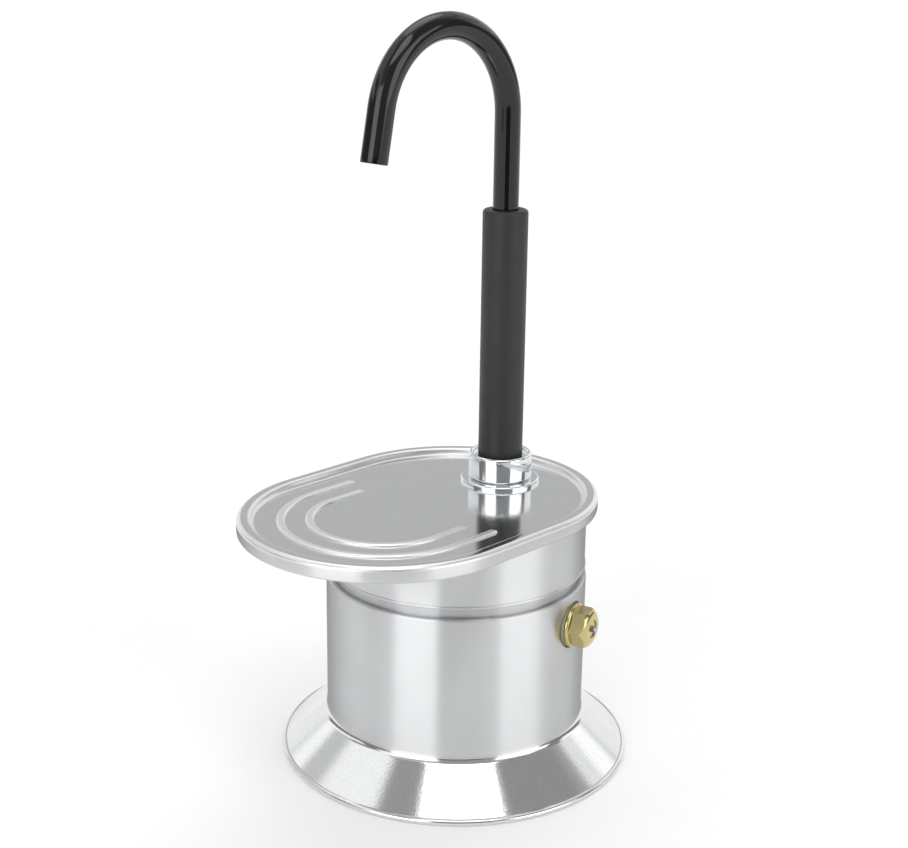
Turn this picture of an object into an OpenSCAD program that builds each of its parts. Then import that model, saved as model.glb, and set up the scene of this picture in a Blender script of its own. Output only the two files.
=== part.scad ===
// Stovetop espresso maker for one cup. A flared aluminium boiler screws up into a collar that
// carries an oval cup platform, and a gooseneck spout stands behind the cup.
// Millimetres, +Z up, origin at the centre of the foot's underside, cup on the -Y side.

/* [Boiler] */
// Outside diameter of the boiler body, from which the collar above it is set in
body_d = 62; // [58:0.5:72]
// Outside diameter of the flared foot
foot_d = 84.2; // [78:0.2:96]
// Height at which the flare meets the upright body
foot_h = 10.5; // [8:0.1:14]
// Radius of the fillet where the flare meets the upright body
flare_round = 3; // [1:0.5:6]
// Height of the upright lip round the foot
foot_lip = 0.6; // [0.4:0.1:2]
// Height of the joint between the boiler and the collar
joint_h = 47.1; // [42:0.1:60]
// Wall thickness of the boiler
boiler_wall = 2.8; // [2:0.1:3.6]
// Thickness of the boiler's floor
floor_t = 3.6; // [3:0.1:6]
// Thickness of the shoulder inside, under the neck
shoulder_t = 2.3; // [2:0.1:4]
// Rounding of the edges on both sides of the joint
edge_r = 0.6; // [0.3:0.1:0.8]
// Height of the relief groove turned into the body just below the joint
relief_h = 2; // [1:0.1:2.2]
// Depth of that groove
relief_depth = 1.2; // [0.8:0.1:1.6]

/* [Neck and thread] */
// Height of the threaded neck above the joint
neck_h = 8; // [7.4:0.2:10]
// Wall thickness of the neck
neck_wall = 2.5; // [2:0.1:3]
// Bevel round the top of the neck
neck_bevel = 0.4; // [0.2:0.1:0.6]
// Wall thickness of the collar round the neck
collar_wall = 2; // [1.8:0.1:3]
// Rise of the thread in one turn
thread_lead = 3; // [2.8:0.1:3.4]
// Height of a thread rib above its wall
thread_depth = 1.2; // [1:0.05:1.4]
// Width of a thread rib at its crest
thread_land = 0.9; // [0.7:0.05:1]
// Distance from each end of the neck to the middle of the rib
thread_inset = 1.7; // [1.6:0.1:2]
// Clearance between the flanks of the two ribs
flank_clear = 0.3; // [0.25:0.05:0.4]
// Clearance between a rib's crest and the wall opposite
crest_clear = 0.5; // [0.4:0.05:0.6]
// Open gap at the joint when the pot is screwed tight
joint_gap = 0.3; // [0.2:0.05:0.6]

/* [Coffee basket] */
// Sheet thickness of the basket
basket_t = 0.7; // [0.5:0.05:0.9]
// Clearance between the basket and the inside of the neck
basket_clear = 1.5; // [1:0.1:2]
// Depth of the basket from its rim to its screen
basket_depth = 14; // [11:0.5:18]
// Distance by which the basket's rim stops short of the neck's outside
rim_inset = 0.4; // [0.2:0.1:0.8]
// Width of the ledge that carries the screen
ledge_w = 1.2; // [0.8:0.1:2]
// Height of the funnel's cone
funnel_drop = 8; // [6:0.5:10]
// Length of the socket that holds the stem
socket_h = 4; // [3:0.5:6]
// Outside diameter of the stem
stem_d = 6.4; // [5.8:0.1:7]
// Wall thickness of the stem
stem_wall = 0.5; // [0.4:0.05:0.7]
// Space between the stem's lower end and the boiler's floor
stem_gap = 3; // [2:0.5:5]
// Thickness of the screen in the basket
screen_t = 0.6; // [0.4:0.1:1]
// Diameter of the holes in the screen and in the filter plate
hole_d = 1.4; // [1:0.1:1.6]
// Spacing of those holes
hole_pitch = 3.4; // [3:0.1:5]
// Blank border round those holes, measured from the basket's inside wall
hole_border = 3; // [2.5:0.1:5]

/* [Gasket and filter plate] */
// Thickness of the gasket
gasket_t = 2.2; // [1.8:0.1:3]
// Thickness of the filter plate
filter_t = 0.8; // [0.6:0.1:1.2]
// Width of the seat on which the filter plate bears
filter_seat = 1.6; // [1:0.1:1.8]
// Clearance round the gasket and round the filter plate
seal_clear = 0.3; // [0.2:0.05:0.4]

/* [Cup platform] */
// Distance from the boiler's axis to the centre of the cup
cup_offset = 24; // [18:0.2:30]
// Step by which the collar stands in from the boiler body's side
collar_inset = 0.4; // [0.2:0.1:0.8]
// Overhang of the platform's edge beyond the body
plate_lip = 2.1; // [1.8:0.1:4]
// Height of the platform's edge
plate_t = 3.7; // [3:0.1:5]
// Metal between the cup's floor and the coffee chamber below
plate_web = 2.5; // [2:0.1:4]
// Width of the raised rim
rim_w = 2.8; // [2:0.1:4]
// Height of the raised rim above the cup's floor
rim_h = 1.4; // [0.8:0.1:1.8]
// Radius of the cove between the collar and the platform
cove_r = 1.6; // [1:0.1:3]
// Radius of the outer bead round the cup's centre
bead_outer_r = 23.2; // [20:0.2:25]
// Length of the outer bead's straight legs
bead_outer_leg = 12.5; // [8:0.5:16]
// Radius of the inner bead round the cup's centre
bead_inner_r = 16.7; // [12:0.1:18]
// Length of the inner bead's straight legs
bead_inner_leg = 9.5; // [6:0.5:16]
// Width of a bead
bead_w = 2; // [1.6:0.1:2.4]
// Height of a bead above the cup's floor
bead_h = 0.5; // [0.3:0.05:0.6]

/* [Spout] */
// Outside diameter of the spout tube
tube_d = 6; // [5:0.1:7]
// Wall thickness of the spout tube
tube_wall = 0.6; // [0.5:0.05:0.9]
// Height of the spout's mouth above the cup's floor
cup_clear = 81; // [74:0.1:110]
// Angle through which the gooseneck bends
bend_angle = 169; // [150:1:178]
// Straight length between the bend and the mouth
tip_len = 10.5; // [6:0.5:18]
// Distance by which the mouth reaches past the cup's centre
tip_past = 2.6; // [0:0.2:5]
// Outside diameter of the rubber sleeve
sleeve_d = 10.6; // [9.6:0.1:11]
// Length of the rubber sleeve
sleeve_len = 59.5; // [40:0.5:66]

/* [Spout fitting] */
// Outside diameter of the ferrule
ferrule_d = 15.2; // [14.4:0.1:17]
// Depth of the open cup at the ferrule's top
ferrule_cup = 1; // [0.6:0.1:1.6]
// Wall thickness of that cup
ferrule_rim = 1.2; // [0.8:0.1:1.4]
// Diameter of the fitting's flange
flange_d = 19; // [17.4:0.2:22]
// Thickness of the fitting's flange
flange_t = 1; // [0.9:0.1:1.6]
// Wall thickness of the fitting's threaded shank
shank_wall = 1; // [0.8:0.1:1.2]
// Wall thickness that the boss adds to the shank
boss_wall = 1.35; // [1.2:0.05:1.6]
// Height of the fitting's boss above its flange
boss_h = 2.8; // [2.4:0.1:4]
// Thickness of the sealing ring under the flange
ring_t = 0.5; // [0.4:0.05:0.6]
// Width of that sealing ring
ring_w = 2.6; // [2:0.1:3]
// Size of the fitting's nut across its flats
nut_af = 11; // [10.6:0.1:12]
// Thickness of the fitting's nut
nut_t = 2.2; // [1.8:0.1:3]
// Length of shank that stands out below the nut
shank_proud = 0.5; // [0.3:0.1:1]
// Space between the shank and the filter plate
filter_gap = 0.6; // [0.4:0.1:2]
// Space between the nut's corners and the chamber's wall
nut_gap = 0.9; // [0.5:0.1:2]

/* [Safety valve] */
// Direction in which the valve faces, turned from +X towards +Y
valve_turn = 14.5; // [0:0.5:30]
// Space between the valve's inner nut and the shoulder above it
valve_drop = 2.4; // [0.4:0.1:6]
// Size of the valve's hexagon across its flats
valve_af = 8.4; // [7.6:0.1:9]
// Length of the valve's hexagon
valve_hex_h = 4; // [2.6:0.1:5]
// Diameter of the valve's flange
valve_flange_d = 10.4; // [9.8:0.1:11]
// Thickness of the valve's flange
valve_flange_t = 1; // [0.8:0.1:1.6]
// Thickness of the washer under the flange
valve_washer_t = 0.8; // [0.5:0.1:1.2]
// Diameter of the valve's threaded shank
valve_shank_d = 6.4; // [6:0.1:6.8]
// Size of the valve's inner nut across its flats
valve_nut_af = 8.6; // [8.2:0.1:9.4]
// Thickness of the valve's inner nut
valve_nut_t = 2; // [1.6:0.1:2.4]
// Diameter of the bore that holds the poppet and its spring
valve_bore_d = 4.2; // [3.8:0.1:4.4]
// Diameter of the hole at the valve's seat
valve_seat_d = 2.2; // [1.6:0.1:2.6]
// Thickness of the metal round that hole
valve_seat_t = 1; // [0.8:0.1:1.4]
// Diameter of the poppet's pin
pin_d = 1.5; // [1.2:0.05:1.6]
// Length of pin that shows beyond the hexagon
pin_proud = 1; // [0.5:0.1:2]
// Thickness of the poppet's head
poppet_t = 0.8; // [0.6:0.1:1.2]
// Thickness of the seal on the poppet's head
poppet_seal_t = 0.5; // [0.4:0.05:0.8]
// Thickness of the cap that closes the valve's bore
valve_cap_t = 1.2; // [1:0.1:1.6]
// Depth of the cap below the hexagon's face
valve_cap_depth = 0.3; // [0.2:0.05:0.5]
// Wire diameter of the valve's spring
spring_wire = 0.45; // [0.35:0.05:0.5]
// Number of turns in the valve's spring
spring_turns = 6; // [4:1:6]

/* [Hidden] */
$fn = 96;

// Fits: slack between fixed round pieces, between the pin and its hole, and past a cut's faces
fit_slack = 0.05;
pin_slack = 0.06;
cut_past = 1;

// Finishes
aluminium = "#c9cbcd";
brass = "#b79a4e";
chrome = "#dfe2e4";
steel = "#a9acae";
black_tube = "#1c1c1e";
black_rubber = "#3a3a3b";
silicone = "#d8d4c8";
fibre = "#6e4434";

// Boiler
body_r = body_d / 2;
body_ri = body_r - boiler_wall;
foot_r = foot_d / 2;
foot_edge = foot_lip / 2;
collar_r = body_r - collar_inset;
collar_ri = collar_r - collar_wall;
neck_r = collar_ri - thread_depth - crest_clear;
neck_ri = neck_r - neck_wall;
neck_top = joint_h + neck_h;
flare = [body_r - foot_r, foot_h - foot_lip];
flare_out = [flare.y, -flare.x] / norm(flare);
flare_in = [foot_r, foot_lip] - boiler_wall * flare_out;
flare_slope = flare.x / flare.y;
flare_turn = atan2(-flare.x, flare.y);

// Thread: the ribs are wide enough at the root to leave the flank clearance all the way up
crest_share = crest_clear / thread_depth;
thread_root = 2 * (thread_lead / 2 - flank_clear - thread_land / 2 * (1 + crest_share)) / (1 - crest_share);
thread_turns = (neck_h - 2 * thread_inset) / thread_lead;
thread_sunk = 0.5;

// Basket and stem
basket_ro = neck_ri - basket_clear;
basket_ri = basket_ro - basket_t;
rim_top = neck_top + basket_t;
ledge_z = rim_top - basket_depth;
cone_r = basket_ri - ledge_w;
stem_r = stem_d / 2;
socket_ri = stem_r + fit_slack;
socket_ro = socket_ri + basket_t;
cone_slope = funnel_drop / (cone_r - socket_ro);
socket_z = ledge_z - basket_t - funnel_drop;

// Gasket, filter plate and coffee chamber
gasket_top = rim_top + gasket_t;
chamber_r = basket_ri;
filter_r = chamber_r + filter_seat;
gasket_bore_r = neck_r + seal_clear;
chamber_top = gasket_top + filter_gap + shank_proud + nut_t;

// Cup platform
cup_floor = chamber_top + plate_web;
rim_z = cup_floor + rim_h;
plate_z = rim_z - plate_t;
plate_r = body_r + plate_lip;
recess_r = plate_r - rim_w;
plate_round = 0.5;
cove_sunk = 0.1;
bead_sunk = 0.5;

// Spout and its fitting
tube_r = tube_d / 2;
tube_ri = tube_r - tube_wall;
tube_bore_r = tube_r + fit_slack;
shank_r = tube_bore_r + shank_wall;
boss_r = shank_r + boss_wall;
boss_top = cup_floor + flange_t + boss_h;
ring_r = shank_r + fit_slack + ring_w;
nut_r = nut_af / sqrt(3);
spout_y = chamber_r - nut_r - nut_gap;
olive_wall = 1.35;
olive_nose = 0.35;
olive_band = 0.3;
olive_r = tube_bore_r + olive_wall;
olive_nose_r = tube_bore_r + olive_nose;
seat_r = shank_r - fit_slack;
olive_z = boss_top - (seat_r - olive_nose_r) + fit_slack;
olive_mid = olive_z + olive_r - olive_nose_r;
olive_top = olive_mid + olive_band + olive_r - olive_nose_r;
ferrule_floor = olive_top + 2 * olive_nose;
ferrule_r = ferrule_d / 2;
ferrule_top = ferrule_floor + ferrule_cup;
ferrule_round = 0.7;
tube_z = cup_floor - plate_web / 2;
sleeve_z = ferrule_floor + fit_slack;
tip_lap = 0.3;
tip_swell = 0.02;
bend_r = (spout_y + cup_offset + tip_past - tip_len * sin(bend_angle)) / (1 - cos(bend_angle));
bend_z = cup_floor + cup_clear - bend_r * sin(bend_angle) - tip_len * cos(bend_angle);

// Safety valve, measured outwards from the boiler's axis
spot_margin = 0.3;
spot_cut = 0.1;
pad_margin = 0.2;
pad_rise = 0.3;
valve_nut_r = valve_nut_af / sqrt(3);
valve_z = joint_h - shoulder_t - valve_nut_r - valve_drop;
valve_flange_r = valve_flange_d / 2;
valve_shank_r = valve_shank_d / 2;
valve_bore_r = valve_bore_d / 2;
spot_r = valve_flange_r + spot_margin;
spot_x = sqrt(body_r * body_r - spot_r * spot_r) - spot_cut;
pad_r = valve_nut_r + pad_margin;
pad_x = sqrt(body_ri * body_ri - pad_r * pad_r) - pad_rise;
shank_x = pad_x - valve_nut_t - shank_proud;
flange_x = spot_x + valve_washer_t;
hex_x = flange_x + valve_flange_t;
face_x = hex_x + valve_hex_h;
seat_x = shank_x + valve_seat_t;
head_x = seat_x + poppet_seal_t;
spring_x = head_x + poppet_t;
cap_x = face_x - valve_cap_depth - valve_cap_t;
pin_r = pin_d / 2;
spring_r = (pin_r + valve_bore_r) / 2;

// Points of a round stretch in an outline
function arc(c, r, a0, a1, n = 6) =
  [for (i = [0:n]) let (a = a0 + (a1 - a0) * i / n) c + r * [cos(a), sin(a)]];

// Triangles that join rings of points into one closed tube, with a flat cap at each end
function skin_faces(rings, sides) = concat(
  [for (i = [0:rings - 2], k = [0:sides - 1])
    let (a = i * sides + k, b = i * sides + (k + 1) % sides)
    each [[a, b, b + sides], [a, b + sides, a + sides]]],
  [for (k = [1:sides - 2]) [0, k + 1, k]],
  let (e = (rings - 1) * sides) [for (k = [1:sides - 2]) [e, e + k, e + k + 1]]);

// A right-hand thread rib on a round wall, standing out or in, that runs out at both ends.
// wall_r is the wall, crest_r the rib's crest, and start the angle at which the rib begins.
module thread_rib(wall_r, crest_r, start) {
  steps = 36;
  fade = 4;
  out = sign(crest_r - wall_r);
  last = round(thread_turns * steps);
  sunk_r = wall_r - out * thread_sunk;
  function crest_at(i) =
    let (k = min(1, i / fade, (last - i) / fade))
    wall_r - out * thread_sunk / 3 + (crest_r - wall_r + out * thread_sunk / 3) * k;
  function section(r) =
    [[sunk_r, -thread_root / 2], [r, -thread_land / 2], [r, thread_land / 2], [sunk_r, thread_root / 2]];
  points = [for (i = [0:last], p = section(crest_at(i)))
    let (a = start + 360 * i / steps)
    [p.x * cos(a), p.x * sin(a), joint_h + thread_inset + thread_lead * i / steps + p.y]];
  faces = skin_faces(last + 1, 4);
  polyhedron(points, out > 0 ? faces : [for (f = faces) [f[2], f[1], f[0]]]);
}

// Rows of holes, in a hexagonal pattern inside a circle
module hole_field(r) {
  n = ceil(r / hole_pitch) + 1;
  for (i = [-2 * n:2 * n], j = [-n:n]) {
    p = hole_pitch * [i + j / 2, j * sin(60)];
    if (norm(p) <= r) translate(p) circle(d = hole_d);
  }
}

module ring(ri, ro, z0, z1) {
  translate([0, 0, z0]) linear_extrude(z1 - z0) difference() {
    circle(ro);
    circle(ri);
  }
}

module hex_prism(af, h) {
  cylinder(r = af / sqrt(3), h = h, $fn = 6);
}

// Places a valve piece: its own axis runs outwards from the boiler
module at_valve() {
  rotate([0, 0, valve_turn]) translate([0, 0, valve_z]) rotate([0, 90, 0]) children();
}

// Places a piece of the spout's fitting on the tube's axis
module at_spout() {
  translate([0, spout_y, 0]) children();
}

module boiler_shell() {
  flare_r = flare_in.x + (floor_t - flare_in.y) * flare_slope;
  flare_z = flare_in.y + (body_ri - flare_in.x) / flare_slope;
  fillet_z = foot_h + flare_round * tan(flare_turn / 2);
  outline = concat(
    [[0, 0]],
    arc([foot_r - foot_edge, foot_edge], foot_edge, -90, 0),
    [[foot_r, foot_lip]],
    arc([body_r + flare_round, fillet_z], flare_round, 180 + flare_turn, 180),
    arc([body_r - edge_r, joint_h - relief_h - edge_r], edge_r, 0, 90),
    [[body_r - relief_depth, joint_h - relief_h], [body_r - relief_depth, joint_h], [neck_r, joint_h],
     [neck_r, neck_top - neck_bevel], [neck_r - neck_bevel, neck_top], [neck_ri, neck_top],
     [neck_ri, joint_h - shoulder_t], [body_ri, joint_h - shoulder_t], [body_ri, flare_z],
     [flare_r, floor_t], [0, floor_t]]);
  color(aluminium) difference() {
    union() {
      rotate_extrude() polygon(outline);
      thread_rib(neck_r, neck_r + thread_depth, 0);
      at_valve() translate([0, 0, pad_x]) cylinder(r = pad_r, h = body_ri + boiler_wall / 2 - pad_x);
    }
    at_valve() translate([0, 0, pad_x - cut_past])
      cylinder(r = valve_shank_r + fit_slack, h = body_r - pad_x + 2 * cut_past);
    at_valve() translate([0, 0, spot_x]) cylinder(r = spot_r, h = body_r - spot_x + cut_past);
  }
}

module valve_washer() {
  color(fibre) at_valve() ring(valve_shank_r + fit_slack, valve_flange_r, spot_x, flange_x);
}

module valve_body() {
  bevel = 0.9;
  corner_r = valve_af / sqrt(3);
  color(brass) at_valve() difference() {
    union() {
      translate([0, 0, shank_x]) cylinder(r = valve_shank_r, h = hex_x - shank_x);
      translate([0, 0, flange_x]) cylinder(r = valve_flange_r, h = valve_flange_t);
      intersection() {
        translate([0, 0, hex_x]) hex_prism(valve_af, valve_hex_h);
        translate([0, 0, hex_x]) rotate_extrude()
          polygon([[0, 0], [corner_r + bevel, 0], [corner_r + bevel, valve_hex_h - 2 * bevel],
                   [valve_af / 2 - bevel / 2, valve_hex_h], [0, valve_hex_h]]);
      }
    }
    translate([0, 0, seat_x]) cylinder(r = valve_bore_r, h = face_x - seat_x + cut_past);
    translate([0, 0, shank_x - cut_past]) cylinder(d = valve_seat_d, h = valve_seat_t + 2 * cut_past);
  }
}

module valve_nut() {
  color(brass) at_valve() translate([0, 0, pad_x - valve_nut_t]) difference() {
    rotate([0, 0, 30]) hex_prism(valve_nut_af, valve_nut_t);
    translate([0, 0, -cut_past]) cylinder(r = valve_shank_r + fit_slack, h = valve_nut_t + 2 * cut_past);
  }
}

module valve_seal() {
  color(silicone) at_valve() translate([0, 0, seat_x])
    cylinder(r = valve_bore_r - seal_clear, h = poppet_seal_t);
}

module valve_poppet() {
  pin_end = face_x + pin_proud;
  color(steel) at_valve() rotate_extrude() polygon(concat(
    [[0, head_x], [valve_bore_r - seal_clear, head_x], [valve_bore_r - seal_clear, spring_x],
     [pin_r, spring_x]],
    arc([pin_r / 2, pin_end - pin_r / 2], pin_r / 2, 0, 90),
    [[0, pin_end]]));
}

module valve_spring() {
  rings_per_turn = 10;
  sides = 6;
  wire_r = spring_wire / 2;
  last = spring_turns * rings_per_turn;
  z0 = spring_x + wire_r + fit_slack;
  pitch = (cap_x - wire_r - fit_slack - z0) / spring_turns;
  points = [for (i = [0:last], k = [0:sides - 1])
    let (a = 360 * i / rings_per_turn, b = 360 * k / sides, r = spring_r + wire_r * cos(b))
    [r * cos(a), r * sin(a), z0 + pitch * i / rings_per_turn - wire_r * sin(b)]];
  color(steel) at_valve() polyhedron(points, [for (f = skin_faces(last + 1, sides)) [f[2], f[1], f[0]]]);
}

module valve_cap() {
  color(brass) at_valve()
    ring(pin_r + pin_slack, valve_bore_r - fit_slack, cap_x, face_x - valve_cap_depth);
}

module basket_cup() {
  rim_r = neck_r - rim_inset;
  color(aluminium) rotate_extrude() polygon([
    [rim_r, neck_top], [rim_r, rim_top], [basket_ri, rim_top], [basket_ri, ledge_z], [cone_r, ledge_z],
    [socket_ri, ledge_z - (cone_r - socket_ri) * cone_slope], [socket_ri, socket_z - socket_h],
    [socket_ro, socket_z - socket_h], [socket_ro, socket_z], [cone_r, ledge_z - basket_t],
    [basket_ro, ledge_z - basket_t], [basket_ro, neck_top]]);
}

module basket_screen() {
  color(steel) translate([0, 0, ledge_z]) linear_extrude(screen_t) difference() {
    circle(basket_ri - fit_slack);
    hole_field(basket_ri - hole_border);
  }
}

module funnel_stem() {
  color(aluminium) ring(stem_r - stem_wall, stem_r, floor_t + stem_gap, socket_z);
}

module gasket() {
  shelf_z = gasket_top - filter_t;
  color(silicone) rotate_extrude() polygon([
    [chamber_r, rim_top], [neck_r, rim_top], [neck_r, gasket_top], [filter_r + seal_clear, gasket_top],
    [filter_r + seal_clear, shelf_z], [chamber_r, shelf_z]]);
}

module filter_plate() {
  color(steel) translate([0, 0, gasket_top - filter_t]) linear_extrude(filter_t) difference() {
    circle(filter_r);
    hole_field(chamber_r - hole_border);
  }
}

// Outline of the platform's edge, out to one side of its middle line
function plate_outline() = concat(
  [[0, plate_z]],
  arc([plate_r - plate_round, plate_z + plate_round], plate_round, -90, 0),
  arc([plate_r - plate_round, rim_z - plate_round], plate_round, 0, 90),
  [[recess_r, rim_z], [recess_r - rim_h / 2, cup_floor], [0, cup_floor]]);

// The oval plate: two half rounds and the straight stretch between them
module oval_plate() {
  half = plate_outline();
  rotate_extrude(angle = 180) polygon(half);
  translate([0, -cup_offset, 0]) rotate([0, 0, 180]) rotate_extrude(angle = 180) polygon(half);
  rotate([90, 0, 0]) linear_extrude(cup_offset)
    polygon(concat(half, [for (i = [len(half) - 2:-1:1]) [-half[i].x, half[i].y]]));
}

// A raised bead in a U, flat on top: a half circle round the cup's centre and two straight legs
module cup_bead(r, leg) {
  half = concat(
    [[0, -bead_sunk], [bead_w / 2, -bead_sunk]],
    arc([bead_w / 2 - bead_h, 0], bead_h, 0, 90),
    [[0, bead_h]]);
  whole = concat(half, [for (i = [len(half) - 2:-1:1]) [-half[i].x, half[i].y]]);
  translate([0, -cup_offset, cup_floor]) {
    rotate([0, 0, 180]) rotate_extrude(angle = 180) translate([r, 0]) polygon(whole);
    for (side = [-1, 1]) translate([side * r, leg, 0]) {
      rotate([90, 0, 0]) linear_extrude(leg) polygon(whole);
      rotate_extrude(angle = 180) polygon(half);
    }
  }
}

module cup_platform() {
  collar_z = joint_h + joint_gap;
  step_z = neck_top + basket_t / 2;
  web_z = cup_floor - plate_web / 2;
  cove = min(cove_r, plate_r - plate_round - collar_r);
  outline = concat(
    arc([collar_r - edge_r, collar_z + edge_r], edge_r, -90, 0),
    arc([collar_r + cove, plate_z - cove + cove_sunk], cove, 180, 90),
    [[collar_r + cove, web_z], [0, web_z], [0, gasket_top], [gasket_bore_r, gasket_top],
     [gasket_bore_r, step_z], [collar_ri, step_z], [collar_ri, collar_z]]);
  color(aluminium) difference() {
    union() {
      rotate_extrude() polygon(outline);
      oval_plate();
      thread_rib(collar_ri, collar_ri - thread_depth, 180);
      cup_bead(bead_outer_r, bead_outer_leg);
      cup_bead(bead_inner_r, bead_inner_leg);
    }
    translate([0, 0, gasket_top - cut_past]) cylinder(r = chamber_r, h = chamber_top - gasket_top + cut_past);
    at_spout() translate([0, 0, chamber_top - cut_past])
      cylinder(r = shank_r + fit_slack, h = plate_web + 2 * cut_past);
  }
}

module fitting_body() {
  base_z = chamber_top - nut_t - shank_proud;
  flange_r = flange_d / 2;
  flange_round = flange_t / 2;
  outline = concat(
    [[tube_ri, base_z], [shank_r, base_z], [shank_r, cup_floor + ring_t],
     [ring_r + fit_slack, cup_floor + ring_t], [ring_r + fit_slack, cup_floor], [flange_r, cup_floor]],
    arc([flange_r - flange_round, cup_floor + flange_t - flange_round], flange_round, 0, 90),
    [[boss_r, cup_floor + flange_t], [boss_r, boss_top], [seat_r, boss_top],
     [tube_bore_r, boss_top - (seat_r - tube_bore_r)], [tube_bore_r, tube_z], [tube_ri, tube_z]]);
  color(chrome) at_spout() rotate_extrude() polygon(outline);
}

module fitting_ring() {
  color(silicone) at_spout() ring(shank_r + fit_slack, ring_r, cup_floor, cup_floor + ring_t);
}

module fitting_nut() {
  color(brass) at_spout() translate([0, 0, chamber_top - nut_t]) difference() {
    hex_prism(nut_af, nut_t);
    translate([0, 0, -cut_past]) cylinder(r = shank_r + fit_slack, h = nut_t + 2 * cut_past);
  }
}

module tube_olive() {
  color(brass) at_spout() rotate_extrude() polygon([
    [tube_bore_r, olive_z], [olive_nose_r, olive_z], [olive_r, olive_mid], [olive_r, olive_mid + olive_band],
    [olive_nose_r, olive_top], [tube_bore_r, olive_top]]);
}

module ferrule_nut() {
  base_z = cup_floor + flange_t;
  taper_z = olive_mid + olive_band + fit_slack;
  bore_r = boss_r + fit_slack;
  outline = concat(
    [[bore_r, base_z]],
    arc([ferrule_r - ferrule_round, base_z + ferrule_round], ferrule_round, -90, 0),
    arc([ferrule_r - ferrule_rim / 2, ferrule_top - ferrule_rim / 2], ferrule_rim / 2, 0, 180),
    [[ferrule_r - ferrule_rim, ferrule_floor], [tube_bore_r, ferrule_floor],
     [tube_bore_r, taper_z + olive_r - tube_bore_r], [olive_r, taper_z], [bore_r, taper_z]]);
  color(chrome) at_spout() rotate_extrude() polygon(outline);
}

// Places a straight stretch of tube on the gooseneck's centre line, at an angle along the bend,
// running on from there (1) or back from there (-1)
module along_bend(angle, way) {
  rotate([0, 0, angle]) translate([bend_r, 0, 0]) rotate([-90 * way, 0, 0]) children();
}

module spout_tube() {
  color(black_tube) translate([0, spout_y - bend_r, bend_z]) rotate([90, 0, 90]) {
    along_bend(0, -1) ring(tube_ri, tube_r, 0, bend_z - tube_z);
    rotate_extrude(angle = bend_angle) translate([bend_r, 0]) difference() {
      circle(tube_r);
      circle(tube_ri);
    }
    along_bend(bend_angle, 1) ring(tube_ri - tip_swell, tube_r + tip_swell, -tip_lap, tip_len);
  }
}

module grip_sleeve() {
  sleeve_r = sleeve_d / 2;
  sleeve_round = 0.8;
  outline = concat(
    [[tube_bore_r, sleeve_z], [sleeve_r, sleeve_z]],
    arc([sleeve_r - sleeve_round, sleeve_z + sleeve_len - sleeve_round], sleeve_round, 0, 90),
    [[tube_bore_r, sleeve_z + sleeve_len]]);
  color(black_rubber) at_spout() rotate_extrude() polygon(outline);
}

boiler_shell();
valve_washer();
valve_body();
valve_nut();
valve_seal();
valve_poppet();
valve_spring();
valve_cap();
basket_cup();
basket_screen();
funnel_stem();
gasket();
filter_plate();
cup_platform();
fitting_body();
fitting_ring();
fitting_nut();
tube_olive();
ferrule_nut();
spout_tube();
grip_sleeve();
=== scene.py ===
import math
import bmesh
import bpy
from mathutils import Matrix, Vector


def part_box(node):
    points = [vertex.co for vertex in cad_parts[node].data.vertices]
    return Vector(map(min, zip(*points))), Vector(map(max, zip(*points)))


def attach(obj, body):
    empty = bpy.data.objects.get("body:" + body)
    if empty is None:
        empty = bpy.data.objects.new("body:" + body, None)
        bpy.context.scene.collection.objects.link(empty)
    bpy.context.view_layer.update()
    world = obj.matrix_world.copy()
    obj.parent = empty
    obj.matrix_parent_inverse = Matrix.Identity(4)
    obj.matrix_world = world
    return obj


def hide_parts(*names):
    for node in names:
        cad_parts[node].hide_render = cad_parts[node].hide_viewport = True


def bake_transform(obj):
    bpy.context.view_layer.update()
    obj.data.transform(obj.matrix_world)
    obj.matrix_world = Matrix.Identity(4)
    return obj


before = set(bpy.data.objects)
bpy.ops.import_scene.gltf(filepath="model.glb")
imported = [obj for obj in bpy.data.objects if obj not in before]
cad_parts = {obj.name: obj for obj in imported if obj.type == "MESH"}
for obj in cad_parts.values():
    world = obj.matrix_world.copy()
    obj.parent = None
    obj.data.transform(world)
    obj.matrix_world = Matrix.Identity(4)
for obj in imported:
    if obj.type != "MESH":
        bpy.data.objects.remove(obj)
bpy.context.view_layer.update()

# Camera, standing where the picture was taken, found by fitting the pot's own edges to it.
# It stands a little higher than the spout's bend, looks down on the platform, and has a long lens.
# The lens axis is left of the picture's middle, so the lens is shifted by that much.
mm = 0.001
image_w = 908
lens_axis_px = 424
focal_px = 1583.6
sensor_w = 36
camera_turn = math.radians(44.69)
camera_dip = math.radians(17.11)
camera_roll = math.radians(0.45)
camera_far = 368.8 * mm
camera_aim = Vector((-7.91 * mm, 0, 80.9 * mm))

forward = Vector((0, math.cos(camera_dip), -math.sin(camera_dip)))
level = Vector((1, 0, 0))
raised = Vector((0, math.sin(camera_dip), math.cos(camera_dip)))
across = level * math.cos(camera_roll) + raised * math.sin(camera_roll)
upward = raised * math.cos(camera_roll) - level * math.sin(camera_roll)
to_frame = Matrix.Rotation(camera_turn, 3, "Z")
axes = [to_frame @ across, to_frame @ upward, to_frame @ -forward]
camera_data = bpy.data.cameras.new("photo_camera")
camera_data.sensor_width = sensor_w
camera_data.lens = focal_px * sensor_w / image_w
camera_data.shift_x = 0.5 - lens_axis_px / image_w
camera_data.clip_start = 10 * mm
camera = bpy.data.objects.new("photo_camera", camera_data)
camera.matrix_world = Matrix(axes).transposed().to_4x4()
camera.location = to_frame @ (camera_aim - forward * camera_far)
bpy.context.scene.collection.objects.link(camera)
bpy.context.scene.camera = camera

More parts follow.
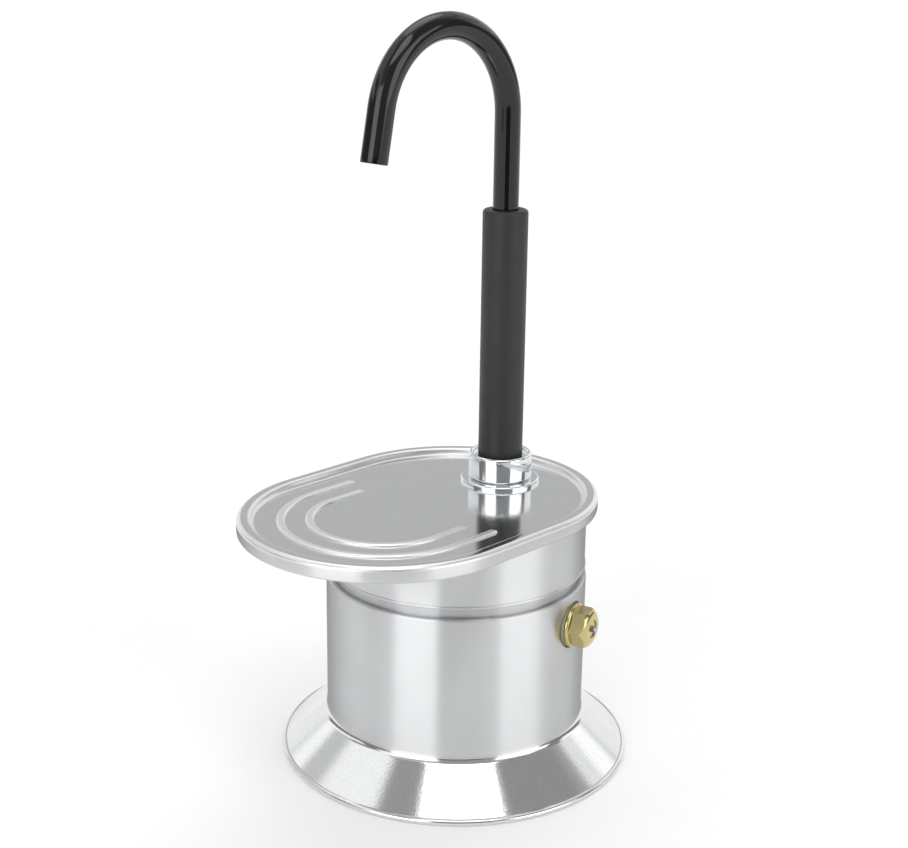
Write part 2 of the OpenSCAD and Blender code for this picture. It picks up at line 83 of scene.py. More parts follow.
# Boiler: cast aluminium, turned on a lathe and polished. The body keeps fine marks round the axis, the
# flared foot is buffed brighter and ends in a rolled edge, and the groove at the joint stays dull, with a
# greyer colour painted in as its shade.
# A milled flat on the side takes the safety valve, and the neck on top carries the thread.
body_r = 31 * mm
body_ri = 28.2 * mm
foot_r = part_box("boiler_shell")[1].y
foot_lip = 0.6 * mm
foot_roll = 0.75 * mm
foot_h = 10.5 * mm
flare_round = 3 * mm
joint_z = 47.1 * mm
joint_round = 0.6 * mm
relief_z = joint_z - 2 * mm
relief_r = body_r - 1.2 * mm
neck_r = 26.9 * mm
neck_ri = 24.4 * mm
neck_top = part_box("boiler_shell")[1].z
neck_bevel = 0.4 * mm
shoulder_z = joint_z - 2.3 * mm
boiler_floor = 3.6 * mm
boiler_wall = 2.8 * mm
lathe_steps = 180
crease = math.radians(35)


def linear(code):
    """An sRGB hex colour as linear RGBA."""
    shares = [int(code[i:i + 2], 16) / 255 for i in (1, 3, 5)]
    return (*[s / 12.92 if s <= 0.04045 else ((s + 0.055) / 1.055) ** 2.4 for s in shares], 1)


def add(tree, kind, links=None, values=None, **settings):
    """Adds a node: links feed its inputs, values fill them, and settings are its own properties."""
    node = tree.nodes.new(kind)
    for name, value in settings.items():
        setattr(node, name, value)
    for key, value in (values or {}).items():
        node.inputs[key].default_value = value
    for key, socket in (links or {}).items():
        tree.links.new(socket, node.inputs[key])
    return node


def arc(x, z, r, start, end, steps=8):
    """Points of a round stretch in an outline, from one angle to another in degrees."""
    turns = [math.radians(start + (end - start) * i / steps) for i in range(steps + 1)]
    return [(x + r * math.cos(t), z + r * math.sin(t)) for t in turns]


def skin(name, rings, around, looped=False, capped=False):
    """Joins rings of points into one closed mesh. A ring of one point is a pole, looped joins the last
    ring to the first, and capped closes both ends with a flat face. The map 'turned' measures metres:
    along the ring, out of a way round of the given length, and across the rings."""
    bm = bmesh.new()
    grain = bm.loops.layers.uv.new("turned")
    rows = [[bm.verts.new(p) for p in ring] for ring in rings]
    count = max(len(row) for row in rows)
    heights = [0]
    for a, b in zip(rings, rings[1:] + rings[:1]):
        heights.append(heights[-1] + (Vector(a[0]) - Vector(b[0])).length)
    last = len(rows) if looped else len(rows) - 1
    for i in range(last):
        low, high = rows[i], rows[(i + 1) % len(rows)]
        if len(low) == len(high) == 1:
            continue
        for k in range(count):
            corners = [(low, k, i), (low, k + 1, i), (high, k + 1, i + 1), (high, k, i + 1)]
            if len(low) == 1:
                corners[0:2] = [(low, k + 0.5, i)]
            elif len(high) == 1:
                corners[2:4] = [(high, k + 0.5, i + 1)]
            face = bm.faces.new([row[int(step) % len(row)] for row, step, _ in corners])
            for loop, (_, step, height) in zip(face.loops, corners):
                loop[grain].uv = (around * step / count, heights[height])
    if capped:
        for row in (rows[0], rows[-1]):
            face = bm.faces.new(row)
            for loop in face.loops:
                loop[grain].uv = loop.vert.co.xy
    bmesh.ops.recalc_face_normals(bm, faces=bm.faces)
    mesh = bpy.data.meshes.new(name)
    bm.to_mesh(mesh)
    bm.free()
    return shown(name, mesh)


def shown(name, mesh):
    """A new object for a mesh, smooth except where its faces meet at more than the crease angle."""
    mesh.shade_smooth()
    mesh.set_sharp_from_angle(angle=crease)
    piece = bpy.data.objects.new(name, mesh)
    bpy.context.scene.collection.objects.link(piece)
    return piece


def lathe(name, outline, place=Matrix(), looped=False, steps=lathe_steps):
    """Turns an outline of (radius, height) points about the axis of a place."""
    rings = []
    for r, z in outline:
        turns = [2 * math.pi * k / steps for k in range(steps)] if r > 0 else [0]
        rings.append([place @ Vector((r * math.cos(t), r * math.sin(t), z)) for t in turns])
    return skin(name, rings, 2 * math.pi * max(r for r, z in outline), looped)


def combine(piece, other, operation):
    """Joins another object to a piece, or cuts it away, and removes that other object."""
    boolean = piece.modifiers.new("combine", "BOOLEAN")
    boolean.operation = operation
    boolean.solver = "EXACT"
    boolean.object = other
    made = bpy.data.meshes.new_from_object(piece.evaluated_get(bpy.context.evaluated_depsgraph_get()))
    piece.modifiers.clear()
    piece.data = made
    made.name = piece.name
    made.shade_smooth()
    made.set_sharp_from_angle(angle=crease)
    bpy.data.objects.remove(other)


def dress(piece, body, slot, finish, *nodes):
    """Gives a finished piece its material and its body, and hides the CAD nodes that it stands for. slot is
    not used.
    """
    if not piece.data.materials:
        piece.data.materials.append(finish)
    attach(piece, body)
    if nodes:
        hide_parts(*nodes)


def aluminium(name, colour, roughness, drawn, mark, mark_depth, patch, patch_depth, haze_share):
    """Aluminium worked in one direction. The marks follow the map 'turned', so reflections are drawn
    out across them by the drawn share, and the metal is duller where it is seen along them. mark is
    the marks' width, drawn wider than the real 0.05 mm to show at all. patch is the size of the uneven
    patches that buffing leaves, patch_depth their depth, and haze_share how much they differ."""
    edge_loss = 0.75
    mark_run = 40
    quarter_turn = 0.25
    material = bpy.data.materials.new(name)
    material.use_nodes = True
    tree = material.node_tree
    shader = tree.nodes["Principled BSDF"]
    shader.inputs["Metallic"].default_value = 1
    shader.inputs["Specular Tint"].default_value = (*[1 - edge_loss * drawn] * 3, 1)
    shader.inputs["Anisotropic"].default_value = drawn
    shader.inputs["Anisotropic Rotation"].default_value = quarter_turn
    grain = add(tree, "ShaderNodeUVMap", uv_map="turned")
    stretch = add(tree, "ShaderNodeMapping", {"Vector": grain.outputs["UV"]},
                  {"Scale": (1 / (mark_run * mark), 1 / mark, 1)})
    marks = add(tree, "ShaderNodeTexNoise", {"Vector": stretch.outputs["Vector"]},
                {"Scale": 1, "Detail": 3, "Roughness": 0.6})
    spot = add(tree, "ShaderNodeTexCoord")
    clouds = add(tree, "ShaderNodeTexNoise", {"Vector": spot.outputs["Object"]},
                 {"Scale": 1 / patch, "Detail": 4, "Roughness": 0.65})
    tint = add(tree, "ShaderNodeMix", {"Factor": clouds.outputs["Fac"]}, data_type="RGBA")
    tint.inputs["A"].default_value = linear(colour)
    tint.inputs["B"].default_value = tuple((1 - haze_share) * c for c in linear(colour)[:3]) + (1,)
    tree.links.new(tint.outputs["Result"], shader.inputs["Base Color"])
    haze = add(tree, "ShaderNodeMapRange", {"Value": clouds.outputs["Fac"]},
               {"From Min": 0.3, "From Max": 0.7, "To Min": (1 - haze_share) * roughness,
                "To Max": (1 + haze_share) * roughness})
    tree.links.new(haze.outputs["Result"], shader.inputs["Roughness"])
    wave = add(tree, "ShaderNodeBump", {"Height": clouds.outputs["Fac"]},
               {"Strength": 1, "Distance": patch_depth})
    lines = add(tree, "ShaderNodeBump", {"Height": marks.outputs["Fac"], "Normal": wave.outputs["Normal"]},
                {"Strength": 1, "Distance": mark_depth})
    tree.links.new(lines.outputs["Normal"], shader.inputs["Normal"])
    run = add(tree, "ShaderNodeTangent", direction_type="UV_MAP", uv_map="turned")
    tree.links.new(run.outputs["Tangent"], shader.inputs["Tangent"])
    return material


# Turned: the marks smear the studio up and down into soft upright bands.
turned_aluminium = aluminium("turned_aluminium", "#E2E3E4", 0.34, 1.0,
                             0.4 * mm, 0.0006 * mm, 8 * mm, 0.0004 * mm, 0.04)
# Buffed: nearly a mirror, with bright and dark patches that a fine speckle breaks up.
buffed_aluminium = aluminium("buffed_aluminium", "#F6F7F8", 0.09, 0.0,
                             0.5 * mm, 0.0004 * mm, 0.5 * mm, 0.012 * mm, 0.3)
# Dull: turned but not polished, with a greyer colour that is painted shade in the groove under the joint.
dull_painted_shade_aluminium = aluminium("dull_painted_shade_aluminium", "#CDCED0", 0.32, 1.0,
                           0.4 * mm, 0.001 * mm, 3 * mm, 0.002 * mm, 0.1)
# Satin: as pressed or cast, a soft even grey with no clear reflection.
satin_aluminium = aluminium("satin_aluminium", "#CFD1D3", 0.42, 0.2,
                            0.6 * mm, 0.002 * mm, 4 * mm, 0.01 * mm, 0.15)

flare = Vector((body_r - foot_r, foot_h - foot_lip))
flare_turn = math.degrees(math.atan2(-flare.x, flare.y))
fillet_z = foot_h + flare_round * math.tan(math.radians(flare_turn) / 2)
flare_out = Vector((flare.y, -flare.x)).normalized()
flare_in = Vector((foot_r, foot_lip)) - boiler_wall * flare_out
floor_edge_r = flare_in.x + (boiler_floor - flare_in.y) * flare.x / flare.y
bell_z = flare_in.y + (body_ri - flare_in.x) * flare.y / flare.x
roll_sunk = flare_out.dot(Vector((foot_roll, foot_lip - foot_roll)))
foot_roll_turn = math.degrees(math.atan2(flare_out.y, flare_out.x) + math.acos(roll_sunk / foot_roll))
boiler = lathe("boiler", [
    (0, 0),
    *arc(foot_r - foot_roll, foot_roll, foot_roll, -90, foot_roll_turn, 16),
    *arc(body_r + flare_round, fillet_z, flare_round, 180 + flare_turn, 180, 12),
    *arc(body_r - joint_round, relief_z - joint_round, joint_round, 0, 90, 6),
    (relief_r, relief_z),
    (relief_r, joint_z),
    (neck_r, joint_z),
    (neck_r, neck_top - neck_bevel),
    (neck_r - neck_bevel, neck_top),
    (neck_ri, neck_top),
    (neck_ri, shoulder_z),
    (body_ri, shoulder_z),
    (body_ri, bell_z),
    (floor_edge_r, boiler_floor),
    (0, boiler_floor)])

valve_turn = math.radians(14.5)
valve_z = 37.435 * mm
valve_shank_r = 3.25 * mm
valve_spot_r = 5.5 * mm
valve_spot_x = 30.408 * mm
valve_pad_r = 5.165 * mm
valve_pad_x = 27.423 * mm
past = 1 * mm
valve_place = (Matrix.Rotation(valve_turn, 4, "Z") @ Matrix.Translation((0, 0, valve_z))
               @ Matrix.Rotation(math.radians(90), 4, "Y"))


def rod(r, low, high, place):
    """A plain round cutter along the axis of a place."""
    return lathe("cutter", [(0, low), (r, low), (r, high), (0, high)], place, steps=96)


combine(boiler, rod(valve_pad_r, valve_pad_x, body_ri + boiler_wall / 2, valve_place), "UNION")
combine(boiler, rod(valve_shank_r, valve_pad_x - past, body_r + past, valve_place), "DIFFERENCE")
combine(boiler, rod(valve_spot_r, valve_spot_x, body_r + past, valve_place), "DIFFERENCE")
boiler.data.materials.clear()
for finish in (turned_aluminium, buffed_aluminium, satin_aluminium, dull_painted_shade_aluminium):
    boiler.data.materials.append(finish)
for face in boiler.data.polygons:
    reach = face.center.xy.length
    outside = reach > body_ri + boiler_wall / 2 or face.normal.z < -0.9
    if face.center.z < fillet_z - past and outside:
        face.material_index = 1
    # The relief groove under the joint takes the dull finish, whose greyer colour is painted shade.
    elif outside and relief_z < face.center.z < joint_z + joint_round:
        face.material_index = 3
    elif reach < body_r - past and face.center.z < neck_top - past:
        face.material_index = 2
dress(boiler, "boiler", "polished_aluminium", turned_aluminium, "boiler_shell")

# Neck thread: one right-hand rib of a turn and a half, cut with the neck from the same metal.
# It is swept along a helix and runs out to nothing at both ends.
thread_lead = 3 * mm
thread_depth = 1.2 * mm
thread_land = 0.9 * mm
thread_root = 1.34 * mm
thread_sunk = 0.4 * mm
thread_relief = 1.7 * mm
thread_low = joint_z + thread_relief
thread_turns = (neck_top - joint_z - 2 * thread_relief) / thread_lead
thread_fade = 0.08


def helix_tree(name, wire, finish):
    """A Geometry Nodes tree that sweeps a section along a helix: a round wire, or else a rib whose
    crest stands out from its root. Depth is the rib's height, or the wire's radius, and Fade is the
    share of the helix over which each end grows from its least size."""
    steps_a_turn = 72
    wire_sides = 12
    least_size = 0.25
    tree = bpy.data.node_groups.new(name, "GeometryNodeTree")
    for label in ("Radius", "Lead", "Turns", "Depth", "Land", "Root", "Sunk", "Fade"):
        tree.interface.new_socket(label, in_out="INPUT", socket_type="NodeSocketFloat")
    tree.interface.new_socket("Geometry", in_out="OUTPUT", socket_type="NodeSocketGeometry")
    given = add(tree, "NodeGroupInput").outputs
    rise = add(tree, "ShaderNodeMath", {0: given["Lead"], 1: given["Turns"]}, operation="MULTIPLY")
    helix = add(tree, "GeometryNodeCurveSpiral",
                {"Rotations": given["Turns"], "Start Radius": given["Radius"],
                 "End Radius": given["Radius"], "Height": rise.outputs[0]}, {"Resolution": steps_a_turn})
    path = add(tree, "GeometryNodeSetCurveNormal", {"Curve": helix.outputs["Curve"]}, mode="Z_UP")
    if wire:
        section = add(tree, "GeometryNodeCurvePrimitiveCircle", {"Radius": given["Depth"]},
                      {"Resolution": wire_sides})
    else:
        corners = {}
        for label, out, width, side in (
                ("Point 1", "Sunk", "Root", -0.5), ("Point 2", "Depth", "Land", -0.5),
                ("Point 3", "Depth", "Land", 0.5), ("Point 4", "Sunk", "Root", 0.5)):
            height = add(tree, "ShaderNodeMath", {0: given[width]}, {1: side}, operation="MULTIPLY")
            point = add(tree, "ShaderNodeCombineXYZ", {"X": given[out], "Y": height.outputs[0]})
            corners[label] = point.outputs["Vector"]
        section = add(tree, "GeometryNodeCurvePrimitiveQuadrilateral", corners, mode="POINTS")
    share = add(tree, "GeometryNodeSplineParameter")
    back = add(tree, "ShaderNodeMath", {1: share.outputs["Factor"]}, {0: 1}, operation="SUBTRACT")
    near = add(tree, "ShaderNodeMath", {0: share.outputs["Factor"], 1: back.outputs[0]}, operation="MINIMUM")
    grown = add(tree, "ShaderNodeMath", {0: near.outputs[0], 1: given["Fade"]}, operation="DIVIDE")
    size = add(tree, "ShaderNodeClamp", {"Value": grown.outputs[0]}, {"Min": least_size, "Max": 1})
    sweep(tree, path, section, size, finish)
    return tree


def sweep(tree, path, section, size, finish):
    """Ends a tree: sweeps a section along a path at its sizes, as one closed mesh with its finish."""
    swept = add(tree, "GeometryNodeCurveToMesh",
                {"Curve": path.outputs["Curve"], "Profile Curve": section.outputs["Curve"],
                 "Scale": size.outputs["Result"]}, {"Fill Caps": True})
    whole = add(tree, "GeometryNodeRealizeInstances", {"Geometry": swept.outputs["Mesh"]})
    finished = add(tree, "GeometryNodeSetMaterial", {"Geometry": whole.outputs["Geometry"]},
                   {"Material": finish})
    add(tree, "NodeGroupOutput", {"Geometry": finished.outputs["Geometry"]})


def grow(name, base, tree, sizes, place=Matrix()):
    """Runs a tree on a base object with its sizes, and gives the result as a plain mesh in its place."""
    run = base.modifiers.new("grow", "NODES")
    run.node_group = tree
    sockets = {s.name: s.identifier for s in tree.interface.items_tree if s.in_out == "INPUT"}
    for label, value in sizes.items():
        run[sockets[label]] = value
    mesh = bpy.data.meshes.new_from_object(base.evaluated_get(bpy.context.evaluated_depsgraph_get()))
    bpy.data.objects.remove(base)
    mesh.name = name
    mesh.transform(place)
    bm = bmesh.new()
    bm.from_mesh(mesh)
    bmesh.ops.remove_doubles(bm, verts=bm.verts, dist=0.001 * mm)
    bmesh.ops.recalc_face_normals(bm, faces=bm.faces)
    bm.to_mesh(mesh)
    bm.free()
    return shown(name, mesh)


def seed(name):
    """An empty mesh object for a tree to grow from."""
    base = bpy.data.objects.new(name, bpy.data.meshes.new(name))
    bpy.context.scene.collection.objects.link(base)
    return base


rib_tree = helix_tree("thread_rib", False, satin_aluminium)
neck_thread = grow(
    "neck_thread", seed("neck_thread"), rib_tree,
    {"Radius": neck_r, "Lead": thread_lead, "Turns": thread_turns, "Depth": thread_depth,
     "Land": thread_land, "Root": thread_root, "Sunk": -thread_sunk, "Fade": thread_fade},
    Matrix.Translation((0, 0, thread_low)))
dress(neck_thread, "boiler", "polished_aluminium", satin_aluminium)

# Safety valve: a brass fitting turned and milled from hexagon bar, screwed through the boiler's
# side against a fibre washer and held inside by a brass nut. A steel pin with a sprung head
# stands out of its middle.
valve_hex = 8.4 * mm
valve_flange_r = 5.2 * mm
valve_flange_x = 31.208 * mm
valve_hex_x = 32.208 * mm
valve_face_x = 36.208 * mm
valve_tail_x = 24.923 * mm
valve_seat_x = 25.923 * mm
valve_bore_r = 2.1 * mm
valve_seat_r = 1.1 * mm
valve_thread_r = 3.2 * mm
valve_dome_r = 5.2 * mm
valve_dome_h = 2.9 * mm
valve_crown_r = 2.6 * mm
valve_soft = 0.28 * mm
valve_hex_turn = 30
valve_dome_steps = 8
valve_edge_angle = 35
valve_crease = 50


def surface(name, colour, worn, roughness, drift, cloud, grain, grain_depth, metallic=0):
    """A finish that changes from one colour to a worn one in cloudy patches, with a fine grain. The
    roughness drifts between two shares of its own value. cloud and grain are each a size, drawn
    coarse enough to show, a detail and a roughness of their pattern."""
    material = bpy.data.materials.new(name)
    material.use_nodes = True
    tree = material.node_tree
    shader = tree.nodes["Principled BSDF"]
    shader.inputs["Metallic"].default_value = metallic
    spot = add(tree, "ShaderNodeTexCoord")
    clouds, grit = [add(tree, "ShaderNodeTexNoise", {"Vector": spot.outputs["Object"]},
                        {"Scale": 1 / size, "Detail": detail, "Roughness": rough}).outputs["Fac"]
                    for size, detail, rough in (cloud, grain)]
    tint = add(tree, "ShaderNodeMix", {"Factor": clouds}, data_type="RGBA")
    tint.inputs["A"].default_value = linear(colour)
    tint.inputs["B"].default_value = linear(worn)
    tree.links.new(tint.outputs["Result"], shader.inputs["Base Color"])
    haze = add(tree, "ShaderNodeMapRange", {"Value": clouds},
               {"From Min": 0.3, "From Max": 0.7, "To Min": drift[0] * roughness,
                "To Max": drift[1] * roughness})
    tree.links.new(haze.outputs["Result"], shader.inputs["Roughness"])
    bumps = add(tree, "ShaderNodeBump", {"Height": grit}, {"Strength": 1, "Distance": grain_depth})
    tree.links.new(bumps.outputs["Normal"], shader.inputs["Normal"])
    return material


def worked_metal(name, colour, worn, roughness, mark, mark_depth):
    """A machined or plated metal, a little darker in cloudy patches, with a faint grain from the tool."""
    return surface(name, colour, worn, roughness, (0.8, 1.2), (2.5 * mm, 4, 0.6), (mark, 2, 0.5),
                   mark_depth, metallic=1)


# Brass, turned and milled: pale gold that reflects softly, greener where it is worn.
machined_brass = worked_metal("machined_brass", "#D4C691", "#BAAB76", 0.16, 0.3 * mm, 0.002 * mm)
# Stainless steel in mill finish: a cool grey with blurred highlights.
stainless_steel = worked_metal("stainless_steel", "#C4C6C8", "#AEB0B2", 0.28, 0.3 * mm, 0.002 * mm)


def hexagon(name, flats, low, high, place, turn):
    """A hexagon bar across its flats, along the axis of a place, turned from a corner on the place's X."""
    angles = [math.radians(60 * k + turn) for k in range(6)]
    corner = flats / math.sqrt(3)
    rings = [[place @ Vector((corner * math.cos(a), corner * math.sin(a), z)) for a in angles]
             for z in (low, high)]
    return skin(name, rings, 6 * corner, capped=True)


valve = hexagon("valve_fitting", valve_hex, valve_flange_x + valve_soft, valve_face_x, valve_place,
                valve_hex_turn)
dome_slopes = [math.radians(90 * k / valve_dome_steps) for k in range(valve_dome_steps + 1)]
valve_dome = lathe("dome", [
    (0, valve_flange_x),
    (valve_dome_r, valve_flange_x),
    *[(valve_crown_r + (valve_dome_r - valve_crown_r) * math.cos(t),
       valve_face_x - valve_dome_h * (1 - math.sin(t))) for t in dome_slopes],
    (0, valve_face_x)], valve_place)
combine(valve, valve_dome, "INTERSECT")
valve_stem = lathe("stem", [
    (0, valve_tail_x),
    (valve_thread_r - valve_soft, valve_tail_x),
    (valve_thread_r, valve_tail_x + valve_soft),
    (valve_thread_r, valve_flange_x),
    (valve_flange_r - valve_soft, valve_flange_x),
    *arc(valve_flange_r - valve_soft, valve_flange_x + valve_soft, valve_soft, -90, 0, 4),
    *arc(valve_flange_r - 2 * valve_soft, valve_hex_x - 2 * valve_soft, 2 * valve_soft, 0, 90, 6),
    (0, valve_hex_x)], valve_place)
combine(valve, valve_stem, "UNION")
combine(valve, rod(valve_bore_r, valve_seat_x, valve_face_x + past, valve_place), "DIFFERENCE")
combine(valve, rod(valve_seat_r, valve_tail_x - past, valve_seat_x + past, valve_place), "DIFFERENCE")
softened = valve.modifiers.new("softened", "BEVEL")
softened.width = valve_soft
softened.segments = 2
softened.limit_method = "ANGLE"
softened.angle_limit = math.radians(valve_edge_angle)
soft_mesh = bpy.data.meshes.new_from_object(valve.evaluated_get(bpy.context.evaluated_depsgraph_get()))
valve.modifiers.clear()
valve.data = soft_mesh
soft_mesh.set_sharp_from_angle(angle=math.radians(valve_crease))
valve.data.materials.clear()
dress(valve, "boiler", "brass", machined_brass, "valve_body")

spring_r = 1.425 * mm
spring_wire_r = 0.225 * mm
spring_low = 27.498 * mm
spring_high = 34.433 * mm
spring_turns = 6.0
spring_fade = 0.001
spring = grow(
    "valve_coil", seed("valve_coil"), helix_tree("coil_spring", True, stainless_steel),
    {"Radius": spring_r, "Lead": (spring_high - spring_low) / spring_turns, "Turns": spring_turns,
     "Depth": spring_wire_r, "Fade": spring_fade},
    valve_place @ Matrix.Translation((0, 0, spring_low)))
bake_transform(spring)
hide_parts("valve_spring")


def moulded(name, colour, worn, roughness, grit, grit_depth):
    """A moulded or pressed soft material: matte, with a fine grit and a faint cloudy change of shade."""
    return surface(name, colour, worn, roughness, (0.92, 1.05), (6 * mm, 4, 0.6), (grit, 3, 0.7), grit_depth)


# Pressed fibre: dry grey-beige board with a visible grit.
pressed_fibre = moulded("pressed_fibre", "#A29D88", "#8E8975", 0.7, 0.3 * mm, 0.02 * mm)
# Moulded silicone: smooth, milky and dull.
moulded_silicone = moulded("moulded_silicone", "#DAD6CA", "#CFCABC", 0.55, 0.4 * mm, 0.004 * mm)


def finish_node(node, finish):
    """Gives a CAD node that is shown as it is a finish in place of its plain one."""
    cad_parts[node].data.materials.clear()
    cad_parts[node].data.materials.append(finish)


finish_node("valve_washer", pressed_fibre)
finish_node("valve_nut", machined_brass)
finish_node("valve_cap", machined_brass)
finish_node("valve_poppet", stainless_steel)
finish_node("valve_seal", moulded_silicone)

# Coffee basket: a cup pressed from thin aluminium with a funnel below it, a perforated steel
# screen on its ledge, and a drawn aluminium stem pressed into the funnel's socket. Its rim
# rests on the boiler's neck.
basket_r = 22.9 * mm
basket_ri = 22.2 * mm
basket_sheet = 0.7 * mm
basket_rim_r = 26.5 * mm
basket_top = neck_top + basket_sheet
basket_ledge = 41.8 * mm
cone_r = 21 * mm
socket_r = 3.95 * mm
socket_ri = 3.25 * mm
socket_top = 33.1 * mm
socket_low = 29.1 * mm
stem_r = 3.2 * mm
stem_ri = 2.7 * mm
stem_low = 6.6 * mm
hem = basket_sheet / 2
cone_rise = (basket_ledge - basket_sheet - socket_top) / (cone_r - socket_r)
basket = lathe("coffee_basket", [
    *arc(basket_rim_r - hem, neck_top + hem, hem, -90, 90, 6),
    *arc(basket_ri + basket_sheet, basket_top - basket_sheet, basket_sheet, 90, 180, 4),
    (basket_ri, basket_ledge),
    (cone_r, basket_ledge),
    (socket_ri, basket_ledge - (cone_r - socket_ri) * cone_rise),
    (socket_ri, socket_low),
    (socket_r, socket_low),
    (socket_r, socket_top),
    (cone_r, basket_ledge - basket_sheet),
    *arc(basket_r - basket_sheet, basket_ledge, basket_sheet, -90, 0, 4),
    (basket_r, neck_top)], looped=True)
dress(basket, "basket", "satin_aluminium", satin_aluminium, "basket_cup")
stem_edge = (stem_r - stem_ri) / 4
stem = lathe("funnel_tube", [
    (stem_ri, stem_low + stem_edge),
    (stem_ri + stem_edge, stem_low),
    (stem_r - stem_edge, stem_low),
    (stem_r, stem_low + stem_edge),
    (stem_r, socket_top),
    (stem_ri, socket_top)], looped=True, steps=64)
dress(stem, "basket", "satin_aluminium", satin_aluminium, "funnel_stem")
finish_node("basket_screen", stainless_steel)

# Gasket and filter: a moulded silicone ring in a groove of the collar, which seals on the basket's
# rim, and a perforated steel filter plate that sits in the ring's step.
gasket_r = 26.9 * mm
gasket_ri = 22.2 * mm
gasket_top = 58 * mm
gasket_shelf = 57.2 * mm
gasket_step_r = 24.1 * mm
gasket_soft = 0.25 * mm
gasket = lathe("gasket_ring", [
    *arc(gasket_ri + gasket_soft, basket_top + gasket_soft, gasket_soft, 180, 270, 4),
    *arc(gasket_r - gasket_soft, basket_top + gasket_soft, gasket_soft, -90, 0, 4),
    *arc(gasket_r - gasket_soft, gasket_top - gasket_soft, gasket_soft, 0, 90, 4),
    (gasket_step_r, gasket_top),
    (gasket_step_r, gasket_shelf),
    (gasket_ri, gasket_shelf)], looped=True)
dress(gasket, "seal", "silicone", moulded_silicone, "gasket")
finish_node("filter_plate", stainless_steel)

# Cup platform: one piece of aluminium, pressed and turned, an oval plate on a round collar. The plate
# has a rounded rim round a polished floor, and the collar is turned like the boiler below it, with a
# rolled lower edge. The coffee chamber is bored into it from below, and a thread holds it down.
cup_y = -24 * mm
plate_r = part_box("cup_platform")[1].x
plate_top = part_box("cup_platform")[1].z
plate_low = plate_top - 3.7 * mm
plate_floor = 63.8 * mm
rim_w = 2.8 * mm
rim_slope = 0.7 * mm
rim_round = 1.0 * mm
rim_inner_round = 0.8 * mm
plate_round = 0.6 * mm
floor_round = 0.5 * mm
collar_r = 30.6 * mm
collar_ri = 28.6 * mm
collar_low = joint_z + 0.3 * mm
collar_roll = 0.4 * mm
collar_cove = 1.6 * mm
collar_step = 55.45 * mm
gasket_bore = 27.2 * mm
chamber_r = 22.2 * mm
chamber_top = 61.3 * mm
spout_y = 14.949 * mm
fitting_hole = 4.1 * mm
half_turn_steps = 90
straight_steps = 20


def oval(r, z):
    """Points round the plate at one radius: a half circle about the boiler's axis, a straight side,
    a half circle about the cup's centre, and a straight side back."""
    points = []
    for middle, start in ((0, 0), (cup_y, 180)):
        for k in range(half_turn_steps + 1):
            turn = math.radians(start + 180 * k / half_turn_steps)
            points.append(Vector((r * math.cos(turn), middle + r * math.sin(turn), z)))
        step = (cup_y if start == 0 else -cup_y) / straight_steps
        side = points[-1]
        points += [side + Vector((0, step * k, 0)) for k in range(1, straight_steps)]
    return points


rim_in = plate_r - rim_w
edge = [
    (rim_in - rim_slope - 2 * floor_round, plate_floor),
    (rim_in - rim_slope - floor_round, plate_floor),
    (rim_in - rim_slope - floor_round / 3, plate_floor + floor_round / 6),
    (rim_in - rim_slope / 2, plate_floor + (plate_top - plate_floor) / 2),
    *arc(rim_in + rim_inner_round / 2, plate_top - rim_inner_round, rim_inner_round, 150, 90, 6),
    *arc(plate_r - rim_round, plate_top - rim_round, rim_round, 90, 0, 8),
    *arc(plate_r - plate_round, plate_low + plate_round, plate_round, 0, -90, 6)]
around_plate = 2 * math.pi * plate_r - 2 * cup_y
platform = skin("cup_platform_plate", [oval(r, z) for r, z in edge], around_plate, capped=True)
web = (plate_floor + chamber_top) / 2
collar = lathe("collar", [
    *arc(collar_r - collar_roll / 2, collar_low + collar_roll, collar_roll, -90, 60, 10),
    *arc(collar_r + collar_cove, plate_low - collar_cove, collar_cove, 180, 90, 8),
    (collar_r + collar_cove, web),
    (0, web),
    (0, chamber_top),
    (chamber_r, chamber_top),
    (chamber_r, gasket_top),
    (gasket_bore, gasket_top),
    (gasket_bore, collar_step),
    (collar_ri, collar_step),
    (collar_ri, collar_low)], looped=True)
combine(platform, collar, "UNION")
spout_place = Matrix.Translation((0, spout_y, 0))
combine(platform, rod(fitting_hole, chamber_top - past, plate_floor + past, spout_place), "DIFFERENCE")
# Mirror: the polished floor shows the ferrule and the sleeve upside down, a little blurred.
mirror_aluminium = aluminium("mirror_aluminium", "#E4E5E6", 0.13, 0.0,
                             0.6 * mm, 0.0001 * mm, 3 * mm, 0.001 * mm, 0.08)
# Pressed: the rim and the beads are left softer than the floor, so they catch broad pale highlights.
pressed_aluminium = aluminium("pressed_aluminium", "#EDEEEF", 0.36, 0.0,
                              0.5 * mm, 0.0006 * mm, 2 * mm, 0.002 * mm, 0.08)
platform.data.materials.clear()
for finish in (turned_aluminium, mirror_aluminium, satin_aluminium, pressed_aluminium):
    platform.data.materials.append(finish)
for face in platform.data.polygons:
    if face.center.z > plate_floor - floor_round and face.normal.z > 0.999:
        face.material_index = 1
    elif face.center.z > plate_floor:
        face.material_index = 3
    elif face.center.xy.length < collar_ri + floor_round and face.center.z < web:
        face.material_index = 2
dress(platform, "upper", "polished_aluminium", turned_aluminium, "cup_platform")
collar_thread = grow(
    "collar_thread", seed("collar_thread"), rib_tree,
    {"Radius": collar_ri, "Lead": thread_lead, "Turns": thread_turns, "Depth": -thread_depth,
     "Land": thread_land, "Root": thread_root, "Sunk": thread_sunk, "Fade": thread_fade},
    Matrix.Translation((0, 0, thread_low)) @ Matrix.Rotation(math.pi, 4, "Z"))
dress(collar_thread, "upper", "polished_aluminium", satin_aluminium)

# Beads on the platform: two raised U-shaped ribs pressed round the cup's place, flat on top with
# round shoulders. They are swept along their path and run out into the floor at their ends.
# Each has a name, the radius of its bow and the length of its legs.
beads = [("bead_outer", 23.2 * mm, 12.5 * mm), ("bead_inner", 16.7 * mm, 9.5 * mm)]
bead_w = 2 * mm
bead_h = 0.5 * mm
bead_fade = 0.9 * mm


